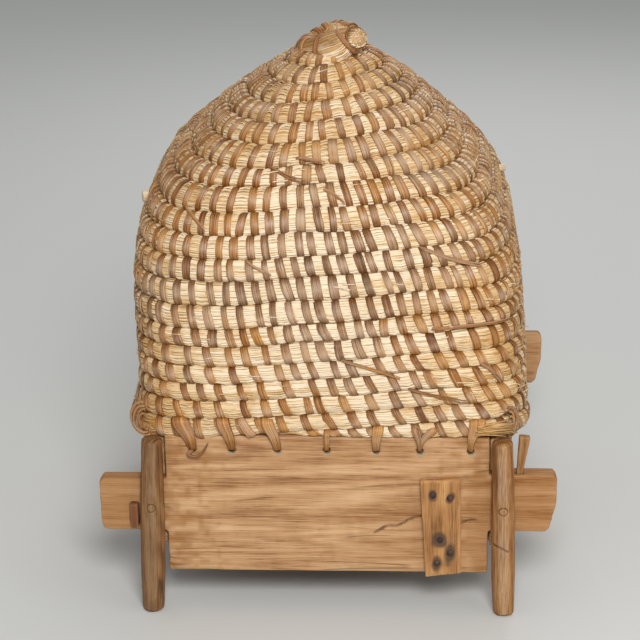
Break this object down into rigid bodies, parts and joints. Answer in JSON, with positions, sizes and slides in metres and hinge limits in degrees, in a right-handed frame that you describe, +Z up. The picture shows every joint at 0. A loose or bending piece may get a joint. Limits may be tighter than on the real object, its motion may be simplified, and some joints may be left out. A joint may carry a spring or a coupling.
{
  "type": "bee skep",
  "caption": "Coiled straw bee skep with a tied crown and a comb stick, laced to a low frame of pegged boards on stick legs.",
  "frame": {"origin": "on the floor, under the centre of the whole skep", "axes": "+Z up, the front board with the cleat faces -Y, +X to the right seen from the front"},
  "size_m": [0.472, 0.443, 0.5586],
  "materials": {
    "straw": "aged coiled straw, sewn with split wood",
    "oak": "old bare oak, dull",
    "leg_wood": "peeled stick, worn",
    "key_wood": "bare split wood",
    "peeled_wood": "pale peeled stick",
    "splint": "split bramble or willow skein, satin",
    "iron": "rusted wrought iron"
  },
  "bodies": {
    "hive": {"straw_dome": "straw", "crown_knob": "straw", "front_board": "oak", "rear_board": "oak", "left_side_board": "oak", "right_side_board": "oak", "front_left_leg": "leg_wood", "front_right_leg": "leg_wood", "rear_left_leg": "leg_wood", "rear_right_leg": "leg_wood", "front_left_peg": "key_wood", "front_right_peg": "key_wood", "rear_left_peg": "key_wood", "rear_right_peg": "key_wood", "repair_cleat": "oak", "cleat_nail_1": "iron", "cleat_nail_2": "iron", "cleat_nail_3": "iron", "cleat_nail_4": "iron", "cleat_nail_5": "iron", "front_lace_1": "splint", "front_lace_2": "splint", "front_lace_3": "splint", "front_lace_4": "splint", "front_lace_5": "splint", "front_lace_6": "splint", "front_lace_7": "splint", "rear_lace_1": "splint", "rear_lace_2": "splint", "rear_lace_3": "splint", "rear_lace_4": "splint", "rear_lace_5": "splint", "rear_lace_6": "splint", "rear_lace_7": "splint", "left_lace_1": "splint", "left_lace_2": "splint", "left_lace_3": "splint", "left_lace_4": "splint", "left_lace_5": "splint", "right_lace_1": "splint", "right_lace_2": "splint", "right_lace_3": "splint", "right_lace_4": "splint", "right_lace_5": "splint"},
    "comb_stick": {"comb_stick": "peeled_wood"},
    "front_left_key": {"front_left_key": "key_wood"},
    "front_right_key": {"front_right_key": "key_wood"},
    "rear_left_key": {"rear_left_key": "key_wood"},
    "rear_right_key": {"rear_right_key": "key_wood"}
  },
  "joints": [
    {"name": "comb_stick_draw", "type": "slide", "parent": "hive", "child": "comb_stick", "axis": [-0.9588, -0.284, 0], "range_m": [0, 0.42]},
    {"name": "front_left_key_draw", "type": "slide", "parent": "hive", "child": "front_left_key", "axis": [0, -1, 0], "range_m": [0, 0.045]},
    {"name": "front_right_key_lift", "type": "slide", "parent": "hive", "child": "front_right_key", "axis": [0.1089, 0, 0.9941], "range_m": [0, 0.055]},
    {"name": "rear_left_key_lift", "type": "slide", "parent": "hive", "child": "rear_left_key", "axis": [-0.1089, 0, 0.9941], "range_m": [0, 0.055]},
    {"name": "rear_right_key_lift", "type": "slide", "parent": "hive", "child": "rear_right_key", "axis": [0.1089, 0, 0.9941], "range_m": [0, 0.055]}
  ]
}
